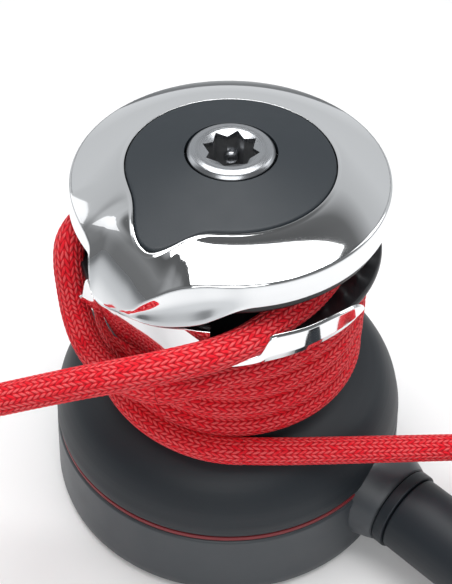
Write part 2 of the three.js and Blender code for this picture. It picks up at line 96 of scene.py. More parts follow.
def sheet_of(name, grid, wrap_rows=False, wrap_columns=False, uv=None, sharp=35, ends=False):
    """A surface whose vertices are a grid of points; wrap joins the last row or column to the first.
    With ends, the first and last rows of a tube are closed by one polygon each."""
    rows, columns = grid.shape[:2]
    mesh = bpy.data.meshes.new(name)
    i = np.arange(rows if wrap_rows else rows - 1)
    j = np.arange(columns if wrap_columns else columns - 1)
    i, j = (part.ravel() for part in np.meshgrid(i, j, indexing="ij"))
    up, right = (i + 1) % rows, (j + 1) % columns
    quads = np.stack([i * columns + j, i * columns + right, up * columns + right, up * columns + j], axis=1)
    loops, starts, totals = quads.ravel(), np.arange(len(quads)) * 4, np.full(len(quads), 4)
    if ends:
        first, last = np.arange(columns)[::-1], (rows - 1) * columns + np.arange(columns)
        loops = np.concatenate([loops, first, last])
        starts = np.concatenate([starts, [len(quads) * 4, len(quads) * 4 + columns]])
        totals = np.concatenate([totals, [columns, columns]])
    mesh.vertices.add(rows * columns)
    mesh.vertices.foreach_set("co", grid.reshape(-1).astype(np.float32))
    mesh.loops.add(len(loops))
    mesh.loops.foreach_set("vertex_index", loops.astype(np.int32))
    mesh.polygons.add(len(starts))
    mesh.polygons.foreach_set("loop_start", starts.astype(np.int32))
    mesh.polygons.foreach_set("loop_total", totals.astype(np.int32))
    mesh.update(calc_edges=True)
    mesh.polygons.foreach_set("use_smooth", np.ones(len(starts), bool))
    if uv is not None:
        u, v = uv
        corner_i = np.stack([i, i, i + 1, i + 1], axis=1)
        corner_j = np.stack([j, j + 1, j + 1, j], axis=1)
        pairs = np.zeros((len(loops), 2), np.float32)
        pairs[:quads.size, 0] = u[corner_j].ravel()
        pairs[:quads.size, 1] = v[corner_i].ravel()
        layer = mesh.uv_layers.new(name="plait")
        layer.data.foreach_set("uv", pairs.ravel())
    mesh.validate()
    # The sum of the signed volumes under the faces is negative when they face inwards.
    corners = grid - grid.mean(axis=(0, 1))
    a, b, c, d = (corners.reshape(-1, 3)[corner] for corner in quads.T)
    if np.sum(a * (np.cross(b, c) + np.cross(c, d))) < 0:
        mesh.flip_normals()
    mesh.set_sharp_from_angle(angle=radians(sharp))
    piece = bpy.data.objects.new(name, mesh)
    bpy.context.collection.objects.link(piece)
    return piece


def plaited_tube(name, line, radius, facing, per_column, per_stitch, start=0.0):
    """A rope: the circle round each point of its line, raised by the stitches of the plait.
    Columns of stitches run along the rope and lean left and right in turn. A stitch's height is
    the sine across its column times the sine across the yarn. radius may vary along the line."""
    length = length_along(line)[-1]
    count = max(2, int(round(length / PLAIT_PITCH * per_stitch))) + 1
    radius = np.broadcast_to(radius, len(line))
    radius = np.interp(np.linspace(0, 1, count), length_along(line) / length, radius)
    line = evenly(line, count)
    along = np.gradient(line, axis=0)
    along /= np.linalg.norm(along, axis=1, keepdims=True)
    out = facing(line)
    out = out - along * np.sum(out * along, axis=1, keepdims=True)
    out /= np.linalg.norm(out, axis=1, keepdims=True)
    side = np.cross(along, out)
    sides = ROPE_STRANDS * per_column
    u = np.arange(sides + 1) / per_column
    v = start + np.arange(count) / per_stitch
    uu, vv = np.meshgrid(u[:-1], v)
    lean = np.where(np.floor(uu) % 2 < 1, 1, -1)
    yarn = np.abs(np.sin(pi * (uu + lean * vv)))
    column = np.abs(np.sin(pi * uu))
    height = PLAIT_HEIGHT * (np.sqrt(yarn) * (0.35 + 0.65 * column) - 0.5)
    turn = 2 * pi * uu / ROPE_STRANDS
    reach = (radius[:, None] + height)[..., None]
    ring = np.cos(turn)[..., None] * out[:, None] + np.sin(turn)[..., None] * side[:, None]
    grid = line[:, None] + reach * ring
    piece = sheet_of(name, grid, wrap_columns=True, uv=(u, v), sharp=80, ends=True)
    return piece, v[-1]


def maths(nodes, links, operation, *values):
    """One Math node with its inputs set or linked."""
    node = nodes.new("ShaderNodeMath")
    node.operation = operation
    for socket, value in zip(node.inputs, values):
        if isinstance(value, (int, float)):
            socket.default_value = value
        else:
            links.new(value, socket)
    return node.outputs[0]


def finish_named(name, colour, roughness, metallic=0.0):
    """A new material and the parts of its node tree that a finish adds to."""
    material = bpy.data.materials.new(name)
    material.use_nodes = True
    nodes, links = material.node_tree.nodes, material.node_tree.links
    shader = nodes["Principled BSDF"]
    shader.inputs["Base Color"].default_value = (*colour, 1)
    shader.inputs["Roughness"].default_value = roughness
    shader.inputs["Metallic"].default_value = metallic
    return material, nodes, links, shader


def blend_colours(nodes, links, share, first, second):
    """A colour between two, by a share from 0 to 1."""
    mix = nodes.new("ShaderNodeMix")
    mix.data_type = "RGBA"
    links.new(share, mix.inputs["Factor"])
    for socket, colour in ((mix.inputs["A"], first), (mix.inputs["B"], second)):
        if isinstance(colour, tuple):
            socket.default_value = (*colour, 1)
        else:
            links.new(colour, socket)
    return mix.outputs["Result"]


def noise_at(nodes, links, where, scale, detail=3.0, roughness=0.55):
    """The grey value of a noise texture."""
    noise = nodes.new("ShaderNodeTexNoise")
    noise.inputs["Scale"].default_value = scale
    noise.inputs["Detail"].default_value = detail
    noise.inputs["Roughness"].default_value = roughness
    links.new(where, noise.inputs["Vector"])
    return noise.outputs["Fac"]


def bumped(nodes, links, shader, height, distance, strength=1.0):
    """Drives the shader's normal from a height."""
    bump = nodes.new("ShaderNodeBump")
    bump.inputs["Distance"].default_value = distance
    bump.inputs["Strength"].default_value = strength
    links.new(height, bump.inputs["Height"])
    links.new(bump.outputs["Normal"], shader.inputs["Normal"])


def ramp_between(nodes, links, value, low, high):
    """0 below low, 1 above high, smooth between."""
    node = nodes.new("ShaderNodeMapRange")
    node.interpolation_type = "SMOOTHSTEP"
    node.inputs["From Min"].default_value = low
    node.inputs["From Max"].default_value = high
    links.new(value, node.inputs["Value"])
    return node.outputs["Result"]


def plaited_polyester():
    """Red polyester cover: pale threads in some yarns, painted shade in the seams between stitches and a
    painted highlight on each stitch's crown, a soft sheen.
    """
    material, nodes, links, shader = finish_named("plaited_polyester", (0.62, 0.008, 0.018), 0.62)
    place = nodes.new("ShaderNodeTexCoord")
    split = nodes.new("ShaderNodeSeparateXYZ")
    links.new(place.outputs["UV"], split.inputs[0])
    u, v = split.outputs["X"], split.outputs["Y"]

    def calc(operation, *values):
        return maths(nodes, links, operation, *values)

    parity = calc("MODULO", calc("FLOOR", u), 2.0)
    lean = calc("SUBTRACT", 1.0, calc("MULTIPLY", parity, 2.0))
    across = calc("ADD", u, calc("MULTIPLY", v, lean))
    yarn = calc("ABSOLUTE", calc("SINE", calc("MULTIPLY", across, pi)))
    column = calc("ABSOLUTE", calc("SINE", calc("MULTIPLY", u, pi)))
    seam = calc("MULTIPLY", calc("SQRT", yarn), calc("ADD", 0.35, calc("MULTIPLY", column, 0.65)))
    thread = calc("ABSOLUTE", calc("SINE", calc("MULTIPLY", across, 4 * pi)))
    stretched = nodes.new("ShaderNodeCombineXYZ")
    links.new(calc("MULTIPLY", calc("FLOOR", across), 1.7), stretched.inputs["X"])
    links.new(calc("MULTIPLY", u, 0.33), stretched.inputs["Y"])
    links.new(calc("MULTIPLY", v, 0.33), stretched.inputs["Z"])
    patch = noise_at(nodes, links, stretched.outputs[0], 1.3, 2.0)
    lit_threads = ramp_between(nodes, links, thread, 0.35, 0.8)
    lit_patches = ramp_between(nodes, links, patch, 0.38, 0.52)
    pale = calc("MULTIPLY", lit_threads, lit_patches)
    pale = calc("MULTIPLY", pale, ramp_between(nodes, links, seam, 0.5, 0.8))
    # Painted shade and highlight: the red runs from dark in the seams between stitches to bright on the
    # crown of each stitch.
    seam_shade_to_crown_highlight = ramp_between(nodes, links, seam, 0.12, 0.62)
    red = blend_colours(nodes, links, seam_shade_to_crown_highlight, (0.36, 0.002, 0.008), (0.86, 0.008, 0.022))
    flecked = blend_colours(nodes, links, calc("MULTIPLY", pale, 0.85), red, (0.84, 0.20, 0.20))
    links.new(flecked, shader.inputs["Base Color"])
    shader.inputs["Specular IOR Level"].default_value = 0.22
    shader.inputs["Sheen Weight"].default_value = 0.05
    shader.inputs["Sheen Roughness"].default_value = 0.4
    shader.inputs["Sheen Tint"].default_value = (1.0, 0.55, 0.55, 1)
    height = calc("ADD", seam, calc("MULTIPLY", thread, 0.22))
    bumped(nodes, links, shader, height, 0.0006, 0.9)
    return material


def upwards(line):
    """Straight up, for every point of a line."""
    return np.broadcast_to([0.0, 0.0, 1.0], line.shape)


ROPE_COVER = plaited_polyester()
LEAD_ROUTE = [
    (6.6, -67.2, 83.5), (16, -66.9, 82.9), (30, -65.2, 81), (50, -61.8, 77.6), (72, -57.9, 73.8),
    (94, -54, 70), (116, -50.1, 66.2),
]
lead_line = spline(np.array(LEAD_ROUTE) * MM, 12)
rope_lead, _ = plaited_tube("rope_lead_cover", lead_line, TIGHT_ROPE, upwards, 6, 5)
rope_lead.data.materials.append(ROPE_COVER)
EYE_CENTRE = np.array([136.0, -46.5, 62.6]) * MM


def spliced_eye(name, centre, toward, radius, rope):
    """A soft eye: a pear-shaped loop whose distance from its centre grows towards the splice."""
    t = np.linspace(0, 2 * pi, 97)[:-1]
    ahead = toward / np.linalg.norm(toward)
    level = np.cross([0, 0, 1.0], ahead)
    level /= np.linalg.norm(level)
    reach = radius * (1 + 0.22 * np.maximum(0, -np.cos(t)) ** 3)
    loop = centre + reach[:, None] * (np.cos(t)[:, None] * ahead + np.sin(t)[:, None] * level)
    loop = np.vstack([np.roll(loop, 48, axis=0), np.roll(loop, 48, axis=0)[:1]])
    return plaited_tube(name, loop, rope, upwards, 4, 4)[0]


lead_eye = spliced_eye("spliced_eye", EYE_CENTRE, lead_line[-1] - lead_line[-9], 15.5 * MM, 5.6 * MM)
lead_eye.data.materials.append(ROPE_COVER)
for piece, node in ((rope_lead, "rope_lead"), (lead_eye, "lead_eye")):
    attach(piece, "root")
    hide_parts(node)

# ---- the slack tail of the rope and its stopper knot -------------------------------------------------
# The same rope leaves the jaws at the front right, rides over the stripper's blade and runs off to
# the left. An overhand knot at its end stops it from running out.

TAIL_ROUTE = [
    (45.9, -24.9, 161.7), (39.2, -37.9, 161.7), (31, -49.4, 161.7), (22.4, -58, 161.7),
    (13.5, -66.6, 161.6), (4.5, -73.4, 161), (-5, -78, 160.2), (-17, -81.4, 159), (-31.5, -83.4, 156.2),
    (-47.5, -83, 151), (-63, -81.5, 144.8), (-79, -80, 138), (-95, -78.5, 131), (-109, -77.3, 125),
]
KNOT_CENTRE = np.array([-122.0, -76.2, 119.4]) * MM
tail_line = spline(np.array(TAIL_ROUTE) * MM, 12)
rope_tail, _ = plaited_tube("rope_tail_cover", tail_line, SLACK_ROPE, upwards, 6, 5)


def stopper_knot(name, centre, size, lift, rope):
    """An overhand knot as a trefoil: x = sin t + 2 sin 2t and y = cos t - 2 cos 2t, and z = -sin 3t
    takes the line over and under itself."""
    t = np.linspace(0, 2 * pi, 145)
    line = np.stack([
        size * (np.sin(t) + 2 * np.sin(2 * t)),
        size * (np.cos(t) - 2 * np.cos(2 * t)),
        -lift * np.sin(3 * t),
    ], axis=1)
    return plaited_tube(name, centre + line, rope, upwards, 4, 4)[0]


tail_knot = stopper_knot("stopper_knot", KNOT_CENTRE, 6.2 * MM, 6.4 * MM, 5.6 * MM)
for piece, node in ((rope_tail, "rope_tail"), (tail_knot, "tail_knot")):
    piece.data.materials.append(ROPE_COVER)
    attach(piece, "root")
    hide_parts(node)

# ---- the rope on the drum and through the jaws -------------------------------------------------------
# Four turns lie side by side on the drum, each laid down against the one below it. The last turn
# drops off the front, climbs outside the stripper's claw and enters the jaws, which grip it.

TURN_STEP = [  # how one turn climbs on to the next: degrees round the drum, share of a rope's width
    (0, 0.0), (15, 0.08), (27, 0.22), (38, 0.42), (50, 0.68), (70, 0.88), (90, 0.96), (135, 1.0),
]
TURN_RADIUS = 57.6
FIRST_TURN = [
    (-84.4, 67.5, 83.4), (-100, 66.2, 84.2), (-120, 64.3, 86.3), (-140, 62.2, 88.4), (-160, 60.0, 90),
    (-180, 58.4, 90.8), (-225, TURN_RADIUS, 91), (-290, TURN_RADIUS, 91.2), (-360, TURN_RADIUS, 91.3),
    (-420, TURN_RADIUS, 91.5),
]
NEXT_TURNS = [
    (-450 - 360 * turn - angle, TURN_RADIUS, 91.7 + 12.7 * turn + 12.0 * share + 0.5 * angle / 135)
    for turn in range(3) for angle, share in [*TURN_STEP, (200, 1.0), (270, 1.03)]
]
DROP_OFF = [
    (-1492, 57.8, 131.6), (-1508, 58.6, 131.2), (-1530, 60.8, 128.6), (-1543, 65.6, 124.8),
    (-1555, 69.6, 120.5),
]
CLIMB = [
    (-1568, 71.4, 117), (-1578, 71.6, 116.3), (-1587, 72.2, 117.5), (-1594, 73, 123),
    (-1600, 73.2, 131), (-1603.5, 73.2, 141), (-1606.5, 73, 150), (-1610.5, 71.6, 157),
    (-1616, 67.6, 161), (-1622, 62.2, 161.7), (-1630, 57, 161.7), (-1640, 53, 161.7),
]
IN_THE_JAWS = [(-1652 - 12 * k, 51, 161.7) for k in range(15)] + [(-1828.5, 52.2, 161.7)]


def round_the_drum(knots, steps):
    """A curve from knots given as degrees, radius and height round the drum's axis."""
    angle, radius, height = spline(knots, steps).T
    angle = np.radians(angle)
    return np.stack([radius * np.cos(angle), radius * np.sin(angle), height], axis=1) * MM


def outwards(line):
    """Straight away from the drum's axis, for every point of a line."""
    return line * [1, 1, 0]


whole_line = round_the_drum(FIRST_TURN + NEXT_TURNS + DROP_OFF + CLIMB + IN_THE_JAWS, 12)
off_drum = 12 * (len(FIRST_TURN + NEXT_TURNS + DROP_OFF) - 1)
halfway = off_drum // 2
lower_turns, stitches = plaited_tube("rope_lower_turns", whole_line[:halfway + 1], 6.3 * MM, outwards, 3, 3)
upper_turns, stitches = plaited_tube(
    "rope_upper_turns", whole_line[halfway:off_drum + 1], 6.3 * MM, outwards, 3, 3, start=stitches,
)
through_line = whole_line[off_drum:]
loosening = np.clip(length_along(through_line) / 0.06, 0, 1)
rope_through, _ = plaited_tube(
    "rope_through_jaws", through_line, (6.3 + 0.5 * loosening) * MM, outwards, 5, 4, start=stitches,
)
for piece, node in (
    (lower_turns, "rope_wraps"), (upper_turns, "rope_wraps"), (rope_through, "rope_in_jaws"),
):
    piece.data.materials.append(ROPE_COVER)
    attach(piece, "root")
    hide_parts(node)

# ---- base housing ------------------------------------------------------------------------------------
# A cast and turned bowl, painted a satin dark grey. It is bolted flat to the deck through its floor
# and carries the gears; its wall draws in a little towards the drum.


def rounded(corners, steps=5, closed=True):
    """An outline from corners of (radius, height, how far from the corner its round starts).
    Each round is the parabola between its two ends, with a point just outside each end."""
    c = np.asarray(corners, float)
    start, c = c[..., 2:], c[..., :2]
    back, on = np.roll(c, 1, axis=-2) - c, np.roll(c, -1, axis=-2) - c
    back /= np.linalg.norm(back, axis=-1, keepdims=True)
    on /= np.linalg.norm(on, axis=-1, keepdims=True)
    t = np.linspace(0, 1, steps)[:, None]
    a, b, corner = ((c + d * start)[..., None, :] for d in (back, on, 0 * on))
    arc = (1 - t) ** 2 * a + 2 * t * (1 - t) * corner + t**2 * b
    before, after = ((c + 1.4 * d * start)[..., None, :] for d in (back, on))
    points = np.concatenate([before, arc, after], axis=-2)
    if closed:
        return points.reshape(*points.shape[:-3], -1, 2)
    middle = points[..., 1:-1, :, :]
    middle = middle.reshape(*middle.shape[:-3], -1, 2)
    return np.concatenate([c[..., :1, :], middle, c[..., -1:, :]], axis=-2)


def turned(outline, steps=180):
    """The grid of points of an outline of (radius, height) in millimetres turned about the Z axis."""
    angle = np.linspace(0, 2 * pi, steps, endpoint=False)[:, None]
    radius, height = outline[..., 0], outline[..., 1]
    level = np.broadcast_to(height, (steps, height.shape[-1]))
    return np.stack([radius * np.cos(angle), radius * np.sin(angle), level], axis=2) * MM


def fitted(piece, material, slot, body, *nodes):
    """Gives a piece its finish and its body, and hides the CAD nodes that it stands for."""
    piece.data.materials.append(material)
    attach(piece, body)
    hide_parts(*nodes)
    return piece


def satin_grey_paint():
    """Thin satin paint: a fine orange-peel and slight change of gloss."""
    material, nodes, links, shader = finish_named("satin_grey_paint", (0.040, 0.047, 0.055), 0.42)
    place = nodes.new("ShaderNodeTexCoord").outputs["Object"]
    tone = noise_at(nodes, links, place, 22)
    grey = blend_colours(nodes, links, tone, (0.030, 0.037, 0.044), (0.042, 0.049, 0.057))
    links.new(grey, shader.inputs["Base Color"])
    gloss = nodes.new("ShaderNodeMapRange")
    links.new(noise_at(nodes, links, place, 60), gloss.inputs["Value"])
    gloss.inputs["To Min"].default_value, gloss.inputs["To Max"].default_value = 0.34, 0.50
    links.new(gloss.outputs["Result"], shader.inputs["Roughness"])
    bumped(nodes, links, shader, noise_at(nodes, links, place, 1400, 1.0), 0.00004, 0.6)
    return material


def turned_solid(name, corners, place=None):
    """A turned piece that reaches its axis: an open outline turned about it, with a disc at each end."""
    grid = turned(rounded(corners, closed=False)).transpose(1, 0, 2)
    return sheet_of(name, grid if place is None else place(grid), wrap_columns=True, ends=True)


def turned_ring(name, corners, place=None):
    """A turned piece with a hole through it: a closed outline turned about the axis."""
    grid = turned(rounded(corners))
    return sheet_of(name, grid if place is None else place(grid), wrap_rows=True, wrap_columns=True)


BASE_PAINT = satin_grey_paint()
base = turned_solid("base_bowl", [
    (30, 0, 0), (86, 0, 1.2), (88.6, 1.6, 1.4), (89.2, 6, 1.5), (88.3, 24, 4), (87.4, 39, 0.5),
    (86.6, 39.9, 0.4), (80.4, 39.9, 0.3), (80.4, 32.9, 0.3), (75.6, 32.9, 0.3), (75.6, 25, 0.5),
    (83.2, 22, 0.5), (83.2, 5, 0.5), (30, 5, 0),
])
fitted(base, BASE_PAINT, "base_grey", "root", "base_housing")

# ---- red wear ring -----------------------------------------------------------------------------------
# A thin moulded ring that lies on the base's rim and keeps grit out from under the drum.


def moulded_plastic(name, colour, roughness, grain, depth):
    """Moulded plastic: an even colour, a fine grain from the tool, and a slight change of gloss."""
    material, nodes, links, shader = finish_named(name, colour, roughness)
    place = nodes.new("ShaderNodeTexCoord").outputs["Object"]
    tone = noise_at(nodes, links, place, 35)
    darker = tuple(0.88 * part for part in colour)
    links.new(blend_colours(nodes, links, tone, darker, colour), shader.inputs["Base Color"])
    gloss = nodes.new("ShaderNodeMapRange")
    links.new(noise_at(nodes, links, place, 90), gloss.inputs["Value"])
    gloss.inputs["To Min"].default_value = roughness - 0.06
    gloss.inputs["To Max"].default_value = roughness + 0.06
    links.new(gloss.outputs["Result"], shader.inputs["Roughness"])
    bumped(nodes, links, shader, noise_at(nodes, links, place, grain, 2.0), depth, 0.7)
    return material


RED_PLASTIC = moulded_plastic("dull_red_plastic", (0.20, 0.010, 0.016), 0.5, 900, 0.00004)
wear_ring = turned_ring("wear_ring", [
    (81, 40.2, 0.3), (86.5, 40.2, 0.5), (86.5, 42.6, 0.5), (81, 42.6, 0.3),
])
fitted(wear_ring, RED_PLASTIC, "red_ring", "root", "red_wear_ring")

# ---- drum --------------------------------------------------------------------------------------------
# One casting: a wide bell over the gears that runs up in a hollow curve into the barrel that the
# rope winds on. It is turned all over and hard anodised, which leaves it dark, dull and blue-grey.

BELL_CURVE = [
    (86.9, 46), (86.7, 49), (86.1, 52), (84.5, 58), (81.7, 64), (78.3, 69), (74, 73), (68, 76.2),
    (61, 78.8), (55.5, 82.5), (52.4, 88), (51.2, 95), (51, 104),
]


def hard_anodised():
    """Hard anodised aluminium: near-black blue-grey, matte, with faint turning marks round the axis."""
    material, nodes, links, shader = finish_named("hard_anodised", (0.012, 0.017, 0.022), 0.50)
    shader.inputs["Specular IOR Level"].default_value = 0.36
    place = nodes.new("ShaderNodeTexCoord").outputs["Object"]
    squash = nodes.new("ShaderNodeMapping")
    squash.inputs["Scale"].default_value = (3, 3, 900)
    links.new(place, squash.inputs["Vector"])
    marks = noise_at(nodes, links, squash.outputs[0], 1.0, 2.0)
    tone = noise_at(nodes, links, place, 18)
    blue_grey = blend_colours(nodes, links, tone, (0.010, 0.014, 0.018), (0.015, 0.020, 0.026))
    links.new(blue_grey, shader.inputs["Base Color"])
    gloss = nodes.new("ShaderNodeMapRange")
    links.new(marks, gloss.inputs["Value"])
    gloss.inputs["To Min"].default_value, gloss.inputs["To Max"].default_value = 0.44, 0.56
    links.new(gloss.outputs["Result"], shader.inputs["Roughness"])
    bumped(nodes, links, shader, marks, 0.00003, 0.5)
    return material


ANODISED = hard_anodised()
bell = spline(BELL_CURVE, 5)
inside = np.array([
    (51, 142.5), (50.5, 143), (43.5, 143), (43.5, 168.7), (40.2, 168.7), (40.2, 141), (46.2, 139),
    (46.2, 86), (58, 74.5), (66, 71), (72.4, 66), (72.4, 43.2), (86, 43.2), (86.5, 43.8),
])
drum_outline = np.vstack([bell, inside])
drum = sheet_of("bell_and_barrel", turned(drum_outline), wrap_rows=True, wrap_columns=True)
fitted(drum, ANODISED, "anodised", "drum", "drum")

# ---- jaws --------------------------------------------------------------------------------------------
# Two nylon rings with shallow cones facing each other. Curved ribs on the cones bite the rope. The
# upper ring is screwed to the drum; the lower one floats on a wave spring to suit the rope.

JAW_RIBS = 30
RIB_HEIGHT = 0.9
LOWER_CONE_FROM, UPPER_CONE_TO = 151, 173  # the heights that part each cone from the back of its ring
JAW_PLASTIC = moulded_plastic("black_nylon", (0.008, 0.009, 0.011), 0.38, 1200, 0.00003)


def ribbed(outline, side):
    """A turned ring whose cone carries ribs: the height rises by the positive part of the sine of the
    angle, swept back with the radius, and fades out at the cone's inner and outer edge."""
    grid = turned(outline, steps=360) / MM
    radius = np.hypot(grid[..., 0], grid[..., 1])
    angle = np.arctan2(grid[..., 1], grid[..., 0])
    wave = np.clip(np.sin(JAW_RIBS * angle + radius / 4), 0, 1)
    fade = np.clip((radius - 46) / 3, 0, 1) * np.clip((66 - radius) / 4, 0, 1)
    facing = (grid[..., 2] > LOWER_CONE_FROM) if side > 0 else (grid[..., 2] < UPPER_CONE_TO)
    grid[..., 2] += side * RIB_HEIGHT * wave * fade * facing
    return grid * MM


upper_outline = rounded([
    (40.6, 169.1, 0.3), (46, 169.3, 0.5), (51, 169.6, 0.5), (56, 170.2, 0.5), (61, 171, 0.5),
    (67, 172, 0.8), (68.5, 173.6, 0.8), (68.2, 177.3, 0.5), (40.6, 177.3, 0.3),
])
upper_jaw = sheet_of("upper_jaw_ring", ribbed(upper_outline, -1), wrap_rows=True, wrap_columns=True)
fitted(upper_jaw, JAW_PLASTIC, "black_nylon", "drum", "upper_jaw")
lower_outline = rounded([
    (43.9, 147.7, 0.3), (60, 148, 1), (67.2, 149.4, 1), (68.5, 151.4, 0.8), (67.8, 153.6, 0.7),
    (62, 153.4, 0.5), (56, 153.3, 0.5), (50, 153.2, 0.5), (43.9, 153.2, 0.3),
])
lower_jaw = sheet_of("lower_jaw_ring", ribbed(lower_outline, 1), wrap_rows=True, wrap_columns=True)
fitted(lower_jaw, JAW_PLASTIC, "black_nylon", "lower_jaw", "lower_jaw")

# ---- stripper ----------------------------------------------------------------------------------------
# A heavy bronze casting, polished and chromed. It screws to the fixed stem, covers the jaws as a cap,
# hangs down at the front left as an arm and claw, and carries the blade that lifts the rope out.

COVER_POINT = -122.5  # direction of the cover's pointed end, degrees
TOP_START, TOP_WIDTH, TOP_HEIGHT = 46.1, 23.1, 195.2  # the chrome from the cover's edge to the skirt
# Each curve below is given round the winch, as degrees and a value. Away from the arm it is level.
TOP_FALL = [  # how far the top falls over its width
    (-168, 6.2), (-155, 8), (-150, 9.5), (-146, 11.5), (-143, 14), (-140, 15.6), (-134, 15.5),
    (-128, 15), (-124, 14.4), (-119, 13.6), (-114, 12), (-109, 9.2), (-104, 7.1), (-98, 6.1),
    (-92, 6.2),
]
TOP_POWER = [  # how late it falls
    (-168, 1.6), (-155, 1.9), (-150, 2.1), (-146, 2.5), (-143, 3), (-140, 3.3), (-134, 3.3),
    (-128, 3.2), (-124, 3.05), (-119, 2.65), (-114, 2), (-109, 1.8), (-104, 1.7), (-98, 1.6),
]
CREASE_RADIUS = [  # where the top meets the upright face of the skirt
    (-150, 69.2), (-146, 69.8), (-144.5, 70.8), (-143, 72.6), (-141.5, 74), (-139, 74.7), (-124, 74.6),
    (-119, 73.6), (-114, 72.3), (-109, 71.2), (-104, 70.4), (-98, 69.6), (-92, 69.2),
]
RIM_RADIUS = [
    (-150, 70.1), (-146, 70.5), (-143, 73), (-140.5, 74.6), (-137, 75), (-124, 75.2), (-112, 75),
    (-100, 73.8), (-92, 71.8), (-84, 70.4), (-79, 70.1),
]
RIM_HEIGHT = [
    (-147, 178), (-144.4, 177.2), (-143, 172), (-141.7, 166.3), (-139.8, 162.8), (-137, 161.4),
    (-134, 162), (-128, 164), (-122, 165), (-116.5, 165.7), (-111, 167), (-105, 169), (-99, 171.3),
    (-94.5, 173.6), (-88.5, 176.7), (-84, 177.9), (-79, 178),
]


def mirror_chrome():
    """Chrome plate on a hand-polished casting: a clear mirror with very slight waviness."""
    material, nodes, links, shader = finish_named("mirror_chrome", (0.86, 0.87, 0.88), 0.045, 1.0)
    place = nodes.new("ShaderNodeTexCoord").outputs["Object"]
    gloss = nodes.new("ShaderNodeMapRange")
    links.new(noise_at(nodes, links, place, 45), gloss.inputs["Value"])
    gloss.inputs["To Min"].default_value, gloss.inputs["To Max"].default_value = 0.03, 0.075
    links.new(gloss.outputs["Result"], shader.inputs["Roughness"])
    bumped(nodes, links, shader, noise_at(nodes, links, place, 26, 1.0), 0.0002, 0.25)
    return material


def eased(low, high, x):
    """0 below low, 1 above high, and 3t^2 - 2t^3 between."""
    t = np.clip((x - low) / (high - low), 0, 1)
    return t * t * (3 - 2 * t)


def cover_edge(angle):
    """The cover's radius in millimetres: a circle with one pointed lobe, exp(-(offset/width)^2)."""
    offset = (angle - COVER_POINT + 180) % 360 - 180
    width = np.where(offset < 0, 18.3, 12.3)
    return 45.1 + 15.9 * np.exp(-((offset / width) ** 2))


def followed(angle, knots):
    """A smooth curve through knots of (degrees, value), level before the first and after the last."""
    curve = spline(knots, 10)
    return np.interp(angle, curve[:, 0], curve[:, 1])


def cap_top(radius):
    """Height of a plain cone, 195 at radius 45.3 and falling by a quarter of the way outwards."""
    return 195 - 0.25 * (radius - 45.3)


def corners_at(angle, *corners):
    """Stacks corners, whose numbers may vary with the angle, into one array for rounded()."""
    return np.stack([
        np.stack([np.broadcast_to(number, angle.shape) for number in corner], axis=-1) for corner in corners
    ], axis=-2)


def swept(angle, outline):
    """The grid of points of an outline that changes with the angle, in degrees."""
    turn = np.radians(angle)[:, None]
    radius, height = outline[..., 0], outline[..., 1]
    return np.stack([radius * np.cos(turn), radius * np.sin(turn), height], axis=2) * MM


CHROME = mirror_chrome()
COVER_GAP = 0.35  # between the cover and the chrome round it
LIP_WIDTH = 1.6  # of the raised lip round the cover
angle = np.unique(np.round(np.concatenate([  # closer together where the arm's shape changes fast
    np.arange(-180, 180, 1.5), np.arange(-156, -140, 0.25),
    np.arange(-140, -108, 0.5), np.arange(-112, -76, 0.75),
]), 3))
edge = cover_edge(angle) + COVER_GAP


def top_height(angle, radius):
    """Height of the smooth chrome top: level at the cover, then down by a power of the way outwards."""
    way = np.maximum(radius - TOP_START, 0) / TOP_WIDTH
    return TOP_HEIGHT - followed(angle, TOP_FALL) * way ** followed(angle, TOP_POWER)


crease_radius, rim_radius = followed(angle, CREASE_RADIUS), followed(angle, RIM_RADIUS)
crease = top_height(angle, crease_radius)
rim = np.minimum(followed(angle, RIM_HEIGHT), crease - 1)
face = crease - rim
hollow = 0.9 * eased(3, 9, face) * (1 - eased(-98, -86, angle)) * eased(-124, -116, angle)
inner = followed(angle, [(-160, 67.4), (-152, 69.4), (-78, 69.4), (-66, 67.4)])
lip = top_height(angle, edge)
recess = rounded(corners_at(
    angle, (22.5, 188.3, 0), (22.5, 191.6, 0.3), (edge, lip - 2.6, 0.3), (edge, lip + 0.2, 0.25),
    (edge + 0.9, lip + 0.1, 0.3), (edge + LIP_WIDTH, top_height(angle, edge + LIP_WIDTH), 0),
), steps=5, closed=False)
way_out = np.linspace(0, 0.96, 28)[1:, None]
sheet_radius = edge + LIP_WIDTH + (crease_radius - edge - LIP_WIDTH) * way_out
smooth_top = np.stack([sheet_radius, top_height(angle, sheet_radius)], axis=2).transpose(1, 0, 2)
underside = np.minimum(187.9, top_height(angle, 62.0) - 1.6)
skirt = rounded(corners_at(
    angle, (sheet_radius[-1], smooth_top[:, -1, 1], 0), (crease_radius, crease, np.minimum(1.0, 0.3 * face)),
    (0.5 * (crease_radius + rim_radius) - hollow, rim + 0.5 * face, 0.18 * face),
    (rim_radius - 0.25 * hollow, rim + np.minimum(1.6, 0.2 * face), 0.05 * face),
    (rim_radius + 0.2, rim + 0.2, 0.15), (rim_radius - 0.4, rim - 0.2, 0.15), (inner, rim, 0.3),
    (inner, np.minimum(180, top_height(angle, inner) - 1.2), 0.3), (62, underside, 0.5), (61, underside, 0),
), steps=6, closed=False)
cap_outline = np.concatenate([recess, smooth_top, skirt[:, 1:]], axis=1)
cap = sheet_of("stripper_cap", swept(angle, cap_outline), wrap_rows=True, wrap_columns=True, sharp=50)


def bar_round(name, angle, corners, material):
    """A bar bent round the drum: a rounded outline that changes with the angle, closed at both ends."""
    grid = swept(angle, rounded(corners_at(angle, *corners)))
    piece = sheet_of(name, grid, wrap_columns=True, sharp=50, ends=True)
    piece.data.materials.append(material)
    return piece


